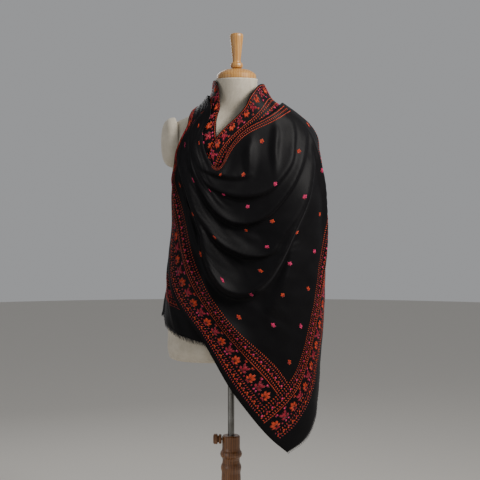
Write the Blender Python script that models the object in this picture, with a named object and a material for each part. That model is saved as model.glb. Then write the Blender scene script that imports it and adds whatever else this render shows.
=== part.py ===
"""Embroidered shawl draped over a limbless dress form on a turned wooden stand.

Frame: metres, +Z up, origin at the centre of the base's underside. The form
faces -Y, turned a little towards +X. The shawl is one length of cloth: end B
hangs behind the right side, the front half sweeps up to the left shoulder, and
the other half falls down the back and ends in a second fringe.
"""
import math

import bpy
import bmesh
import numpy as np
from mathutils import Matrix, Vector

for old in list(bpy.data.objects):
    bpy.data.objects.remove(old, do_unlink=True)

# ---------------------------------------------------------------- dimensions
GAP = 0.0003                 # clearance where two solids meet
TOTAL_HEIGHT = 1.65
FORM_TURN = math.radians(15)  # the form faces this far towards +X

BASE_RADIUS = 0.190
BASE_THICKNESS = 0.022
BOSS_RADIUS = 0.050
BOSS_TOP = 0.045
COLUMN_TOP = 0.5485
BORE_RADIUS = 0.0097
BORE_FLOOR = 0.150
POLE_RADIUS = 0.0090
POLE_BOTTOM = 0.300
TORSO_BOTTOM = 0.766
SOCKET_DEPTH = 0.060
KNOB_HEIGHT = 0.538
KNOB_RADIUS = 0.0145
SCREW_RADIUS = 0.0035

ARM_FLAT = 0.158             # half distance between the flats where arms would start
ARM_CAP_HEIGHT = 1.358
ARM_CAP_HALF_DEPTH = 0.056
ARM_CAP_HALF_HEIGHT = 0.068
ARM_CAP_BULGE = 0.034

NECK_TOP = 1.527
CAP_TOP = 1.5555
HANDLE_FOOT = CAP_TOP + GAP

CLOTH = 0.0017               # wall of every shawl stretch
SHAWL_WIDTH = 0.98           # along end B, from edge A to the fold at the neckline
SHAWL_LENGTH = 2.00          # along edge A
SHOULDER = 1.10              # where the front stretch meets the back stretch
SEAM_GAP = 0.0006            # half the space between those two, measured along the cloth
FRONT_LIFT = 0.0085          # how far the front stretch lies above the inner layers
NECK_LIFT = 0.0045           # further lift near the neck, where two neck bands pass below
FRINGE_REACH = 0.011
ARC_PER_DEGREE = 0.0036      # metres along the envelope for one degree about the pole


# ------------------------------------------------------------------- helpers
def linear(code):
    """Linear colour from a six-digit sRGB code."""
    channels = [int(code[i:i + 2], 16) / 255 for i in (0, 2, 4)]
    return tuple(c / 12.92 if c <= 0.04045 else ((c + 0.055) / 1.055) ** 2.4 for c in channels) + (1.0,)


def material(name, code, roughness, metallic=0.0):
    made = bpy.data.materials.new(name)
    made.use_nodes = True
    shader = made.node_tree.nodes["Principled BSDF"]
    shader.inputs["Base Color"].default_value = linear(code)
    shader.inputs["Roughness"].default_value = roughness
    shader.inputs["Metallic"].default_value = metallic
    return made


def place(name, mesh, surface, sharp_above=40):
    mesh.materials.append(surface)
    mesh.shade_smooth()
    mesh.set_sharp_from_angle(angle=math.radians(sharp_above))
    made = bpy.data.objects.new(name, mesh)
    bpy.context.scene.collection.objects.link(made)
    return made


def rings_mesh(name, rings):
    """Closed mesh from rings of equal length, capped flat at both ends."""
    shape = bmesh.new()
    loops = [[shape.verts.new(p) for p in ring] for ring in rings]
    count = len(loops[0])
    for lower, upper in zip(loops, loops[1:]):
        for i in range(count):
            j = (i + 1) % count
            shape.faces.new((lower[i], lower[j], upper[j], upper[i]))
    shape.faces.new(list(reversed(loops[0])))
    shape.faces.new(loops[-1])
    bmesh.ops.recalc_face_normals(shape, faces=shape.faces)
    mesh = bpy.data.meshes.new(name)
    shape.to_mesh(mesh)
    shape.free()
    return mesh


def circle(radius, height, count):
    turns = [2 * math.pi * i / count for i in range(count)]
    return [(radius * math.cos(t), radius * math.sin(t), height) for t in turns]


def turned(name, profile, surface, count=48, stand=Matrix.Identity(4)):
    """Solid of revolution about Z from (radius, height) pairs, then moved by stand."""
    rings = [circle(radius, height, count) for radius, height in profile]
    mesh = rings_mesh(name, rings)
    mesh.transform(stand)
    return place(name, mesh, surface, 35)


def through(knots, values, at):
    """Smooth curve through values at uneven knots (cubic, with weighted slopes)."""
    knots = np.asarray(knots, float)
    values = np.asarray(values, float)
    steps = np.diff(knots)
    rise = np.diff(values, axis=0) / steps.reshape((-1,) + (1,) * (values.ndim - 1))
    slope = np.empty_like(values)
    slope[0] = rise[0]
    slope[-1] = rise[-1]
    before = steps[:-1].reshape((-1,) + (1,) * (values.ndim - 1))
    after = steps[1:].reshape((-1,) + (1,) * (values.ndim - 1))
    slope[1:-1] = (rise[:-1] * after + rise[1:] * before) / (before + after)
    at = np.clip(np.asarray(at, float), knots[0], knots[-1])
    k = np.clip(np.searchsorted(knots, at, side="right") - 1, 0, len(steps) - 1)
    shape = at.shape + (1,) * (values.ndim - 1)
    t = ((at - knots[k]) / steps[k]).reshape(shape)
    step = steps[k].reshape(shape)
    start = (1 + 2 * t) * (1 - t) ** 2 * values[k] + t * (1 - t) ** 2 * step * slope[k]
    return start + t * t * (3 - 2 * t) * values[k + 1] + t * t * (t - 1) * step * slope[k + 1]


# ----------------------------------------------------------------- materials
WOOD_STAND = material("turned_brown_wood", "7A5534", 0.38)
WOOD_PALE = material("pale_varnished_wood", "C79A62", 0.32)
STEEL = material("satin_steel", "A9A8A4", 0.34, 1.0)
LINEN = material("cream_form_cover", "D9CDB4", 0.85)
WOOL = material("black_shawl_cloth", "121013", 0.72)
FRINGE = material("black_fringe", "151316", 0.8)


# --------------------------------------------------------------------- stand
def base_plate():
    profile = [
        (BASE_RADIUS - 0.004, 0.0),
        (BASE_RADIUS, 0.004),
        (BASE_RADIUS, BASE_THICKNESS - 0.009),
        (BASE_RADIUS - 0.003, BASE_THICKNESS - 0.003),
        (BASE_RADIUS - 0.010, BASE_THICKNESS),
        (0.110, BASE_THICKNESS + 0.004),
        (BOSS_RADIUS + 0.014, BASE_THICKNESS + 0.007),
        (BOSS_RADIUS + 0.003, BASE_THICKNESS + 0.013),
        (BOSS_RADIUS, BOSS_TOP - 0.003),
        (BOSS_RADIUS - 0.003, BOSS_TOP),
    ]
    turned("base_plate", profile, WOOD_STAND, 64)


def column():
    """Turned column with two rings at the collar and a bore for the pole."""
    profile = [
        (0.0340, BOSS_TOP + GAP),
        (0.0350, 0.060),
        (0.0300, 0.085),
        (0.0240, 0.120),
        (0.0220, 0.170),
        (0.0225, 0.230),
        (0.0250, 0.310),
        (0.0278, 0.380),
        (0.0270, 0.430),
        (0.0262, 0.444),
        (0.0272, 0.450),
        (0.0285, 0.4555),
        (0.0285, 0.4605),
        (0.0272, 0.4660),
        (0.0243, 0.4720),
        (0.0238, 0.4800),
        (0.0252, 0.4860),
        (0.0292, 0.4905),
        (0.0305, 0.4965),
        (0.0292, 0.5025),
        (0.0258, 0.5070),
        (0.0247, 0.5140),
        (0.0247, COLUMN_TOP - 0.003),
        (0.0222, COLUMN_TOP),
        (BORE_RADIUS + 0.0008, COLUMN_TOP),
        (BORE_RADIUS, COLUMN_TOP - 0.0008),
        (BORE_RADIUS, BORE_FLOOR),
    ]
    turned("column", profile, WOOD_STAND, 44)


def pole():
    profile = [
        (POLE_RADIUS - 0.001, POLE_BOTTOM),
        (POLE_RADIUS, POLE_BOTTOM + 0.001),
        (POLE_RADIUS, TORSO_BOTTOM + SOCKET_DEPTH - GAP),
    ]
    turned("pole", profile, STEEL, 32)


def clamp_knob():
    """Two wooden discs with a groove between them on a short screw along X."""
    column_face = 0.0247 + GAP
    tip = column_face + 0.0245
    profile = [
        (SCREW_RADIUS, column_face),
        (SCREW_RADIUS, column_face + 0.0015),
        (KNOB_RADIUS - 0.003, column_face + 0.0015),
        (KNOB_RADIUS - 0.001, column_face + 0.0035),
        (KNOB_RADIUS - 0.001, column_face + 0.0080),
        (KNOB_RADIUS - 0.0055, column_face + 0.0100),
        (KNOB_RADIUS - 0.0055, column_face + 0.0115),
        (KNOB_RADIUS, column_face + 0.0135),
        (KNOB_RADIUS, tip - 0.0030),
        (KNOB_RADIUS - 0.003, tip),
    ]
    aside = Matrix.Translation((0, 0, KNOB_HEIGHT)) @ Matrix.Rotation(math.radians(-90), 4, "Y")
    knob = turned("clamp_knob", profile, WOOD_STAND, 32, aside)
    knob.data.transform(Matrix.Translation((0, 0, -KNOB_HEIGHT)))
    knob.location = (0, 0, KNOB_HEIGHT)


# ---------------------------------------------------------------- dress form
# height, half width, half depth, how far its middle lies forward
TORSO_SECTIONS = (
    (0.766, 0.158, 0.094, 0.000),
    (0.770, 0.168, 0.104, 0.000),
    (0.782, 0.174, 0.111, 0.000),
    (0.830, 0.176, 0.114, -0.002),
    (0.900, 0.171, 0.112, -0.006),
    (0.980, 0.149, 0.101, -0.002),
    (1.050, 0.131, 0.091, 0.004),
    (1.120, 0.138, 0.094, 0.010),
    (1.190, 0.150, 0.104, 0.014),
    (1.240, 0.158, 0.112, 0.016),
    (1.290, 0.176, 0.110, 0.012),
    (1.335, 0.190, 0.104, 0.004),
    (1.370, 0.188, 0.095, 0.000),
    (1.395, 0.173, 0.086, 0.002),
    (1.412, 0.155, 0.079, 0.005),
    (1.426, 0.127, 0.073, 0.010),
    (1.440, 0.098, 0.068, 0.016),
    (1.454, 0.078, 0.064, 0.025),
    (1.468, 0.064, 0.060, 0.036),
    (1.488, 0.058, 0.058, 0.047),
    (1.508, 0.0565, 0.057, 0.055),
    (1.527, 0.0565, 0.057, 0.060),
)
TORSO_SIDES = 56
WAIST_HEIGHT = 1.05


def torso_ring(height, half_width, half_depth, forward):
    """Oval ring, cut flat where the arms would start, turned with the form."""
    flat = ARM_FLAT if height > WAIST_HEIGHT else half_width
    ring = []
    for i in range(TORSO_SIDES):
        turn = 2 * math.pi * i / TORSO_SIDES
        x = max(-flat, min(flat, half_width * math.cos(turn)))
        y = half_depth * math.sin(turn) - forward
        ring.append(turned_with_form(x, y, height))
    return ring


def turned_with_form(x, y, z):
    c = math.cos(FORM_TURN)
    s = math.sin(FORM_TURN)
    return (c * x - s * y, s * x + c * y, z)


def torso():
    rings = [torso_ring(*section) for section in TORSO_SECTIONS]
    mouth = circle(POLE_RADIUS + 0.0005, TORSO_BOTTOM, TORSO_SIDES)
    roof = circle(POLE_RADIUS + 0.0005, TORSO_BOTTOM + SOCKET_DEPTH, TORSO_SIDES)
    turn = Matrix.Rotation(FORM_TURN, 4, "Z")
    socket = [[tuple(turn @ Vector(p)) for p in ring] for ring in (roof, mouth)]
    place("torso", rings_mesh("torso", socket + rings), LINEN, 50)


def arm_cap(name, side):
    """Domed oval cap on the flat where an arm would start; side is -1 or +1."""
    steps = ((0.985, 0.0), (1.0, 0.10), (0.97, 0.35), (0.88, 0.62), (0.70, 0.84), (0.42, 0.96), (0.16, 1.0))
    count = 36
    rings = []
    for spread, out in steps:
        x = side * (ARM_FLAT + GAP + ARM_CAP_BULGE * out)
        ring = []
        for i in range(count):
            turn = 2 * math.pi * i / count
            y = ARM_CAP_HALF_DEPTH * spread * math.cos(turn)
            z = ARM_CAP_HEIGHT + ARM_CAP_HALF_HEIGHT * spread * math.sin(turn)
            ring.append(turned_with_form(x, y, z))
        rings.append(ring)
    place(name, rings_mesh(name, rings), LINEN, 50)


def neck_axis():
    """Matrix that puts a turned piece over the neck's middle."""
    forward = TORSO_SECTIONS[-1][3]
    return Matrix.Translation(turned_with_form(0, -forward, 0))


def neck_cap():
    profile = [
        (0.0510, NECK_TOP + GAP),
        (0.0528, NECK_TOP + 0.003),
        (0.0528, NECK_TOP + 0.009),
        (0.0505, NECK_TOP + 0.014),
        (0.0445, NECK_TOP + 0.019),
        (0.0340, NECK_TOP + 0.0245),
        (0.0200, NECK_TOP + 0.0275),
        (0.0120, CAP_TOP),
    ]
    turned("neck_cap", profile, WOOD_PALE, 44, neck_axis())


def cap_handle():
    profile = [
        (0.0110, HANDLE_FOOT),
        (0.0160, HANDLE_FOOT + 0.0030),
        (0.0172, HANDLE_FOOT + 0.0080),
        (0.0160, HANDLE_FOOT + 0.0130),
        (0.0120, HANDLE_FOOT + 0.0168),
        (0.0110, HANDLE_FOOT + 0.0200),
        (0.0122, HANDLE_FOOT + 0.0320),
        (0.0148, HANDLE_FOOT + 0.0560),
        (0.0174, HANDLE_FOOT + 0.0780),
        (0.0182, TOTAL_HEIGHT - 0.0080),
        (0.0170, TOTAL_HEIGHT - 0.0030),
        (0.0130, TOTAL_HEIGHT - 0.0006),
        (0.0060, TOTAL_HEIGHT),
    ]
    turned("cap_handle", profile, WOOD_PALE, 36, neck_axis())


# ------------------------------------------------------------- cloth envelope
# The surface that the cloth lies on, as ovals: height, left, right, front, back
ENVELOPE = np.array((
    (0.440, -0.178, 0.226, 0.120, 0.128),
    (0.600, -0.178, 0.231, 0.124, 0.128),
    (0.740, -0.181, 0.238, 0.132, 0.130),
    (0.860, -0.183, 0.246, 0.138, 0.134),
    (0.960, -0.177, 0.249, 0.140, 0.132),
    (1.060, -0.165, 0.250, 0.143, 0.126),
    (1.150, -0.158, 0.249, 0.149, 0.122),
    (1.220, -0.165, 0.246, 0.155, 0.124),
    (1.290, -0.187, 0.240, 0.154, 0.126),
    (1.340, -0.201, 0.231, 0.146, 0.126),
    (1.380, -0.191, 0.222, 0.134, 0.119),
    (1.410, -0.156, 0.201, 0.124, 0.106),
    (1.430, -0.119, 0.174, 0.120, 0.093),
    (1.450, -0.084, 0.144, 0.118, 0.078),
    (1.470, -0.065, 0.116, 0.118, 0.056),
    (1.500, -0.051, 0.096, 0.120, 0.032),
    (1.525, -0.049, 0.085, 0.123, 0.014),
))
CORNER_SQUARENESS = 3.0      # left front and right back, where the turned form's corners are
OTHER_SQUARENESS = 2.3


def envelope(angle, height):
    """Point on the envelope; angle in degrees from the front towards the right."""
    left, right, front, back = (through(ENVELOPE[:, 0], ENVELOPE[:, k], height) for k in (1, 2, 3, 4))
    s = np.sin(np.radians(angle))
    c = np.cos(np.radians(angle))
    square = np.where(s * c < 0, CORNER_SQUARENESS, OTHER_SQUARENESS)
    depth = np.where(c > 0, front, back)
    across = (left + right) / 2 + (right - left) / 2 * s
    away = -np.sign(c) * depth * (1 - np.minimum(1, np.abs(s)) ** square) ** (1 / square)
    return np.stack([across, away, height], axis=-1)


def envelope_outward(angle, height):
    """Unit normal of the envelope, pointing away from the form."""
    turn = envelope(angle + 1, height) - envelope(angle - 1, height)
    rise = envelope(angle, height + 0.003) - envelope(angle, height - 0.003)
    normal = np.cross(turn, rise)
    return normal / np.linalg.norm(normal, axis=-1, keepdims=True)


# ------------------------------------------------------------------ the shawl
# Where points of the flat cloth lie on the envelope. A row is one line along
# the cloth at its distance in from edge A; the columns are distances from end B.
ALONG = (0.0, 0.05, 0.2, 0.4, 0.6, 0.8, 0.9, 1.0, 1.1, 1.2, 1.4, 1.6, 1.8, 2.0)
ACROSS = (0.0, 0.05, 0.11, 0.30, 0.50, 0.70, 0.85, 0.98)
ANGLE = np.array((
    (37.2, 26, -3, -32, -72, -71, -52, -43, -90, -124, -116, -82, -46, -15),
    (56, 41, 10, -23, -59, -64, -49, -42.5, -90, -125, -120, -89, -56, -28),
    (70, 55, 25, -12, -44, -55, -46, -42, -90, -127, -124, -97, -68, -44),
    (93, 77, 41, 2, -34, -48, -41, -42, -90, -133, -142, -125, -106, -91),
    (108, 93, 50, 9, -22, -38, -37, -44, -91, -141, -160, -153, -139, -127),
    (126, 111, 62, 14, -18, -33, -34, -47, -92, -152, -180, -182, -172, -163),
    (136, 119, 67, 17, -20, -29, -32, -50, -93, -170, -203, -205, -199, -194),
    (141, 123, 67, 10, -16, -25, -29, -54, -94, -194, -226, -227, -225, -222),
), float)
HEIGHT = np.array((
    (0.527, .557, .678, .847, 1.010, 1.206, 1.297, 1.399, 1.445, 1.405, 1.262, 1.100, 0.950, 0.815),
    (.556, .592, .713, .867, 1.036, 1.227, 1.307, 1.403, 1.448, 1.410, 1.267, 1.100, 0.957, 0.825),
    (.598, .638, .757, .892, 1.068, 1.252, 1.318, 1.408, 1.451, 1.417, 1.272, 1.100, 0.966, 0.838),
    (.785, .812, .894, .978, 1.115, 1.257, 1.336, 1.420, 1.461, 1.434, 1.287, 1.100, 0.992, 0.888),
    (.980, .995, 1.044, 1.070, 1.134, 1.269, 1.354, 1.432, 1.468, 1.449, 1.300, 1.105, 1.000, 0.903),
    (1.170, 1.176, 1.196, 1.172, 1.192, 1.296, 1.374, 1.443, 1.475, 1.461, 1.315, 1.110, 1.000, 0.903),
    (1.320, 1.323, 1.335, 1.290, 1.243, 1.338, 1.397, 1.453, 1.479, 1.469, 1.330, 1.130, 0.998, 0.893),
    (1.446, 1.449, 1.454, 1.400, 1.289, 1.379, 1.423, 1.463, 1.485, 1.474, 1.345, 1.150, 1.000, 0.873),
))

# Folds of the front: name, rise, width above, width below, (angle, height) points
FRONT_FOLDS = (
    ("neck_ledge", 0.010, 0.016, 0.010, ((-26, 1.277), (-18, 1.272), (-6, 1.264))),
    ("first_swag", 0.014, 0.020, 0.011,
     ((-27, 1.253), (-15, 1.225), (0, 1.217), (16, 1.231), (26, 1.261), (37, 1.305), (44, 1.372))),
    ("second_swag", 0.018, 0.022, 0.012,
     ((-31, 1.240), (-27, 1.197), (-14, 1.154), (2, 1.149), (14, 1.170), (23, 1.200), (36, 1.253),
      (49, 1.318), (60, 1.385))),
    ("third_swag", 0.022, 0.022, 0.012,
     ((-41, 1.290), (-39, 1.197), (-30, 1.136), (-20, 1.096), (-10, 1.075), (2, 1.061), (15, 1.066),
      (25, 1.118), (36, 1.170), (48, 1.240), (60, 1.320))),
    ("great_swag", 0.030, 0.030, 0.014,
     ((-40, 1.327), (-43, 1.261), (-40, 1.189), (-34, 1.125), (-28, 1.049), (-22, 1.007), (-16, 0.979),
      (-6, 0.962), (4, 0.965), (13, 0.991), (22, 1.042), (32, 1.120), (47, 1.212), (62, 1.310))),
    ("last_swag", 0.012, 0.030, 0.018, ((34, 1.100), (30, 1.012), (24, 0.950), (18, 0.900))),
    ("hem_sweep", 0.014, 0.022, 0.014, ((-29, 0.985), (-20, 0.925), (-10, 0.876), (1, 0.830), (9, 0.770))),
    ("side_fall", 0.013, 0.018, 0.012, ((-40, 1.335), (-54, 1.239), (-58, 1.157), (-45, 1.065), (-34, 0.998))),
    ("right_fall_1", 0.010, 0.014, 0.012, ((11, 1.362), (3, 1.253))),
    ("right_fall_2", 0.011, 0.014, 0.012, ((31, 1.400), (22, 1.253))),
    ("right_fall_3", 0.012, 0.016, 0.014, ((62, 1.400), (72, 1.300), (78, 1.120), (70, 0.950))),
    ("right_fall_4", 0.010, 0.018, 0.016, ((88, 1.400), (98, 1.250), (100, 1.020), (92, 0.860))),
    ("right_fall_5", 0.008, 0.018, 0.016, ((116, 1.360), (122, 1.180), (116, 1.000))),
)

# Flutes of the back: distance in from edge A at the shoulder and at the hem, rise at the hem, half width
BACK_FLUTES = (
    (0.30, 0.33, 0.010, 0.020),
    (0.38, 0.44, 0.015, 0.024),
    (0.47, 0.55, 0.012, 0.021),
    (0.56, 0.66, 0.018, 0.026),
    (0.67, 0.76, 0.013, 0.022),
    (0.76, 0.84, 0.010, 0.018),
)
# Pleats over the left shoulder: distance in from edge A, rise, half width
SHOULDER_PLEATS = (
    (0.08, 0.0030, 0.050),
    (0.25, 0.0036, 0.062),
    (0.44, 0.0026, 0.054),
    (0.63, 0.0032, 0.064),
    (0.85, 0.0024, 0.070),
)
PLEAT_REACH = 0.20           # how far the pleats run down each side of the shoulder
FINEST_FOLD = 0.021          # half width that the lines of the mesh can still carry


def fold_rise(angle, height, fold):
    """Rise of one fold: soft on its upper side, steeper below, fading at its ends."""
    _, rise, above, below, points = fold
    path = np.array(points, float) * (ARC_PER_DEGREE, 1.0)
    reach = np.concatenate([[0], np.cumsum(np.hypot(*np.diff(path, axis=0).T))])
    count = int(reach[-1] / 0.006) + 8
    stations = np.linspace(0, reach[-1], count)
    line = through(reach, path, stations)
    heading = np.gradient(line, axis=0)
    heading /= np.hypot(heading[:, 0], heading[:, 1])[:, None]
    spots = np.stack([angle * ARC_PER_DEGREE, height], axis=-1)
    offset = spots[..., None, :] - line
    distance = np.hypot(offset[..., 0], offset[..., 1])
    nearest = distance.argmin(axis=-1)
    gap = np.take_along_axis(offset, nearest[..., None, None], axis=-2)[..., 0, :]
    along = heading[nearest]
    side = along[..., 0] * gap[..., 1] - along[..., 1] * gap[..., 0]
    width = np.maximum(np.where(side > 0, above, below), FINEST_FOLD)
    fade = np.sin(np.pi * (nearest + 0.6) / (count + 0.2)) ** 0.5
    return rise * fade * np.exp(-(distance.min(axis=-1) / width) ** 2)


def together(rises, sharpness=3):
    """Smooth greatest of several rises."""
    total = sum(np.maximum(0, rise) ** sharpness for rise in rises)
    return total ** (1 / sharpness)


def relief(along, across, angle, height):
    """How far the folds lift the cloth off its layer."""
    front = together([fold_rise(angle, height, fold) for fold in FRONT_FOLDS])
    front = front * smooth_step(0.96, 0.80, along)
    near = np.exp(-((along - SHOULDER) / PLEAT_REACH) ** 2)
    pleats = together([rise * near * np.exp(-((across - middle) / half) ** 2)
                       for middle, rise, half in SHOULDER_PLEATS])
    fall = smooth_step(1.20, 1.80, along)
    flutes = together([rise * fall * np.exp(-((across - (q0 + (q1 - q0) * (along - SHOULDER) / 0.9)) / half) ** 2)
                       for q0, q1, rise, half in BACK_FLUTES])
    return front + pleats + flutes


def smooth_step(start, end, value):
    t = np.clip((value - start) / (end - start), 0, 1)
    return t * t * (3 - 2 * t)


def shawl_wall(along, across):
    """Outer and inner grids of points of the draped cloth, for distances along and across it."""
    p, q = np.meshgrid(along, across, indexing="ij")
    angle = through(ALONG, through(ACROSS, ANGLE, across).T, along)
    height = through(ALONG, through(ACROSS, HEIGHT, across).T, along)
    in_front = smooth_step(1.24, 1.10, p)
    near_neck = smooth_step(1.38, 1.44, height) * (1 - in_front * smooth_step(-30, -60, angle))
    layer = FRONT_LIFT * in_front + NECK_LIFT * near_neck
    ground = envelope(angle, height)
    lift = layer + relief(p, q, angle, height)
    outward = envelope_outward(angle, height)
    outer = ground + outward * lift[..., None]
    return outer, outer - outward * CLOTH


def cloth_wall(name, outer, inner, surface):
    """Closed wall between two grids of points that lie face to face."""
    rows, columns = outer.shape[:2]
    shape = bmesh.new()
    skins = []
    for grid in (outer, inner):
        skins.append([[shape.verts.new(tuple(map(float, p))) for p in row] for row in grid])
    for skin in skins:
        for i in range(rows - 1):
            for j in range(columns - 1):
                shape.faces.new((skin[i][j], skin[i + 1][j], skin[i + 1][j + 1], skin[i][j + 1]))
    rim = [(i, 0) for i in range(rows)] + [(rows - 1, j) for j in range(1, columns)]
    rim += [(i, columns - 1) for i in range(rows - 2, -1, -1)] + [(0, j) for j in range(columns - 2, 0, -1)]
    for (i, j), (k, m) in zip(rim, rim[1:] + rim[:1]):
        shape.faces.new((skins[0][i][j], skins[0][k][m], skins[1][k][m], skins[1][i][j]))
    bmesh.ops.recalc_face_normals(shape, faces=shape.faces)
    mesh = bpy.data.meshes.new(name)
    shape.to_mesh(mesh)
    shape.free()
    return place(name, mesh, surface, 60)


# Lines along and across the cloth: enough to carry the folds, fewer on the back
FRONT_LINES = 37
BACK_LINES = 21
LINES_ACROSS = np.linspace(0.0, SHAWL_WIDTH, 34)
WHOLE_ALONG = np.concatenate([
    np.linspace(0.0, SHOULDER - SEAM_GAP, FRONT_LINES),
    np.linspace(SHOULDER + SEAM_GAP, SHAWL_LENGTH, BACK_LINES),
])
SHAWL_OUTER, SHAWL_INNER = shawl_wall(WHOLE_ALONG, LINES_ACROSS)


def shawl_front():
    cloth_wall("shawl_front", SHAWL_OUTER[:FRONT_LINES], SHAWL_INNER[:FRONT_LINES], WOOL)


def shawl_back():
    cloth_wall("shawl_back", SHAWL_OUTER[FRONT_LINES:], SHAWL_INNER[FRONT_LINES:], WOOL)


def fringe(name, end, inside):
    """Plain strip that reaches as far as the fringe beyond one end line of the cloth."""
    skins = []
    for skin in (SHAWL_OUTER, SHAWL_INNER):
        run = skin[end] - skin[inside]
        run /= np.linalg.norm(run, axis=-1, keepdims=True)
        skins.append(np.stack([skin[end] + run * GAP * 2, skin[end] + run * FRINGE_REACH]))
    cloth_wall(name, *skins, FRINGE)


# Neck stretches: (angle, height) along the neck's edge and along the lower edge
LEFT_BAND_EDGES = (
    ((-221, 1.497), (-160, 1.500), (-108, 1.512), (-61, 1.521), (-35, 1.464), (-19, 1.408), (-13, 1.360),
     (-10, 1.320), (-9, 1.280)),
    ((-221, 1.446), (-166, 1.450), (-118, 1.464), (-84, 1.472), (-46, 1.430), (-36, 1.376), (-32, 1.332),
     (-30, 1.295), (-28, 1.262)),
)
RIGHT_BAND_EDGES = (
    ((138, 1.497), (108, 1.505), (75, 1.513), (45, 1.508), (22, 1.484), (4, 1.450), (-7, 1.408),
     (-15, 1.360), (-21, 1.318), (-27, 1.282)),
    ((138, 1.446), (112, 1.438), (86, 1.434), (58, 1.424), (32, 1.404), (18, 1.376), (4, 1.334),
     (-8, 1.294), (-16, 1.262), (-22, 1.246)),
)
INNER_BAND_LIFT = 0.0005
OUTER_BAND_LIFT = 0.0045     # the right band lies over the left one in front


def neck_band(name, edges, front_lift, run=26, rise=5):
    """Band round the neck between two edges; its lift falls to the inner one's behind the neck."""
    neckline, lower = (through(np.linspace(0, 1, len(edge)), edge, np.linspace(0, 1, run)) for edge in edges)
    share = np.linspace(0, 1, rise)[None, :, None]
    spots = neckline[:, None] * (1 - share) + lower[:, None] * share
    angle = spots[..., 0]
    lift = INNER_BAND_LIFT + (front_lift - INNER_BAND_LIFT) * smooth_step(115, 60, angle)
    outward = envelope_outward(angle, spots[..., 1])
    outer = envelope(angle, spots[..., 1]) + outward * lift[..., None]
    cloth_wall(name, outer, outer - outward * CLOTH, WOOL)


# ---------------------------------------------------------------------- build
base_plate()
column()
pole()
clamp_knob()
torso()
arm_cap("arm_cap_right", 1)
arm_cap("arm_cap_left", -1)
neck_cap()
cap_handle()
shawl_front()
shawl_back()
neck_band("shawl_neck_left", LEFT_BAND_EDGES, INNER_BAND_LIFT)
neck_band("shawl_neck_right", RIGHT_BAND_EDGES, OUTER_BAND_LIFT)
fringe("fringe_front", 0, 1)
fringe("fringe_back", -1, -2)
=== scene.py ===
"""Looks of an embroidered shawl draped over a limbless dress form on a turned wooden stand.

The shawl's main stretch is one sheet: end B hangs in front of the right side,
the front sweeps up to the left shoulder, and the rest falls down the back to
the second fringed end. Two shorter stretches of the same cloth cross at the neck.
Lengths are in metres.
"""

import math

import bmesh
import bpy
import numpy as np
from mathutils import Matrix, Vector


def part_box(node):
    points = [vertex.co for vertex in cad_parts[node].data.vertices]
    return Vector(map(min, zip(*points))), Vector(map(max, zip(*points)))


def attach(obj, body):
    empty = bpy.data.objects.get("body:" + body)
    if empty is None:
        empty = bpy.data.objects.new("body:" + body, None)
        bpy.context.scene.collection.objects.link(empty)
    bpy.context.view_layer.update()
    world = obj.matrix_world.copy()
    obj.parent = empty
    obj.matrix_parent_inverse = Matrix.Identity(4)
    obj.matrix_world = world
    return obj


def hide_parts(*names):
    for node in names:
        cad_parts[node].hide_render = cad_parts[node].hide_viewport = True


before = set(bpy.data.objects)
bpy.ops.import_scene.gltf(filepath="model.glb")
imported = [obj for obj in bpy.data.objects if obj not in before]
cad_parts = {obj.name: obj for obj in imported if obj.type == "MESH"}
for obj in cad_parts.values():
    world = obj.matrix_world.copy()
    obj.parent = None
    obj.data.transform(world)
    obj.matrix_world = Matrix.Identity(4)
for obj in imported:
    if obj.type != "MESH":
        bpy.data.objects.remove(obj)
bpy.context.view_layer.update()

# ---------------------------------------------------------------- dimensions
FORM_TURN = math.radians(15)      # the form faces this far towards +X
POLE_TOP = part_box("pole")[1][2]
TORSO_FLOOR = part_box("torso")[0][2]

CLOTH = 0.0008                    # thickness of the shawl's cloth
SHAWL_WIDTH = 0.98                # from edge A to the fold at the neckline
SHAWL_LENGTH = 2.00
SHOULDER = 1.10                   # distance from end B at which the cloth passes over the shoulder
FRONT_LIFT = 0.0085               # how far the front lies above the layers below it
NECK_LIFT = 0.0045
ARC_PER_DEGREE = 0.0036           # metres along the cloth for one degree about the pole
FIRST_FRINGE = 0.005          # length of the loose ends: worn short at the first end
LAST_FRINGE = 0.011

# ------------------------------------------------------------ camera and light
VIEW_TARGET = np.array((0.0248, 0.0, 1.092))
VIEW_OFFSET = np.array((0.0, -3.12, 0.16))


def aim(thing, spot, target):
    """Place a light or camera at spot, looking at target."""
    from_spot = np.array(target) - np.array(spot)
    level = math.hypot(from_spot[0], from_spot[1])
    pitch = math.atan2(level, -from_spot[2])
    yaw = math.atan2(from_spot[1], from_spot[0]) - math.pi / 2
    thing.location = tuple(spot)
    thing.rotation_euler = (pitch, 0.0, yaw)


def studio_camera():
    lens = bpy.data.cameras.new("studio_camera")
    lens.lens = 85
    camera = bpy.data.objects.new("studio_camera", lens)
    bpy.context.scene.collection.objects.link(camera)
    aim(camera, VIEW_TARGET + VIEW_OFFSET, VIEW_TARGET)
    bpy.context.scene.camera = camera


def softbox(name, spot, size, power, warmth=(1.0, 1.0, 1.0)):
    """Large soft square light that faces the middle of the form."""
    lamp = bpy.data.lights.new(name, "AREA")
    lamp.size = size
    lamp.energy = power
    lamp.color = warmth
    made = bpy.data.objects.new(name, lamp)
    bpy.context.scene.collection.objects.link(made)
    aim(made, spot, (0.0, 0.0, 1.15))


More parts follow.
